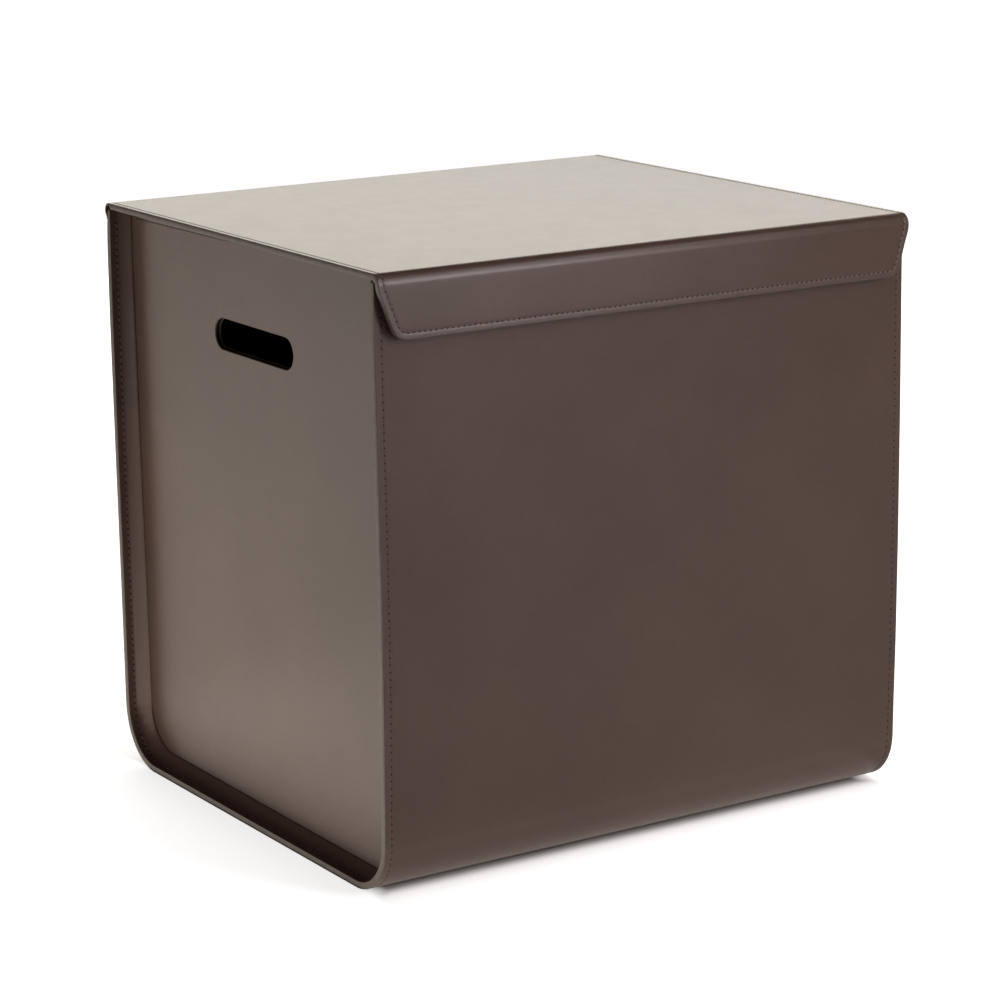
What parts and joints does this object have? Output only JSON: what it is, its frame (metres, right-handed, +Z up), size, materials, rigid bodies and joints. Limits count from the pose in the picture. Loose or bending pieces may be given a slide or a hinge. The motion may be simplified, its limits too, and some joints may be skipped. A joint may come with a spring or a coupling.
{
  "type": "lidded storage box",
  "caption": "Storage box of smooth leather with recessed sides, round bottom bends, hand slots and a lid with a front flap that opens on a leather hinge.",
  "frame": {"origin": "on the floor, below the middle of the box's bounding box", "axes": "+X to the right seen from the front, +Y from the front with the flap to the back with the hinge, +Z up"},
  "size_m": [0.4, 0.3572, 0.39],
  "materials": {
    "leather": "smooth, satin, dark taupe brown",
    "board": "raw leather board",
    "lining": "brushed suede cloth, matt",
    "thread": "twisted waxed thread"
  },
  "bodies": {
    "box": {"wrap_leather": "leather", "wrap_core": "board", "wrap_lining": "lining", "left_side_leather": "leather", "left_side_board": "board", "left_side_lining": "lining", "right_side_leather": "leather", "right_side_board": "board", "right_side_lining": "lining", "base_board": "board", "base_cover": "lining"},
    "hinge": {"hinge_leather": "leather"},
    "lid": {"lid_leather": "leather", "lid_board": "board", "flap_board": "board", "lid_lining": "lining"}
  },
  "joints": [
    {"name": "wall_fold", "type": "hinge", "parent": "box", "child": "hinge", "pos_m": [0, 0.17655, 0.3815], "axis": [-1, 0, 0], "range_deg": [0, 130], "deforming": ["hinge_leather"]},
    {"name": "lid_fold", "type": "hinge", "parent": "hinge", "child": "lid", "pos_m": [0, 0.17285, 0.38935], "axis": [-1, 0, 0], "range_deg": [0, 130], "deforming": ["hinge_leather"]}
  ]
}
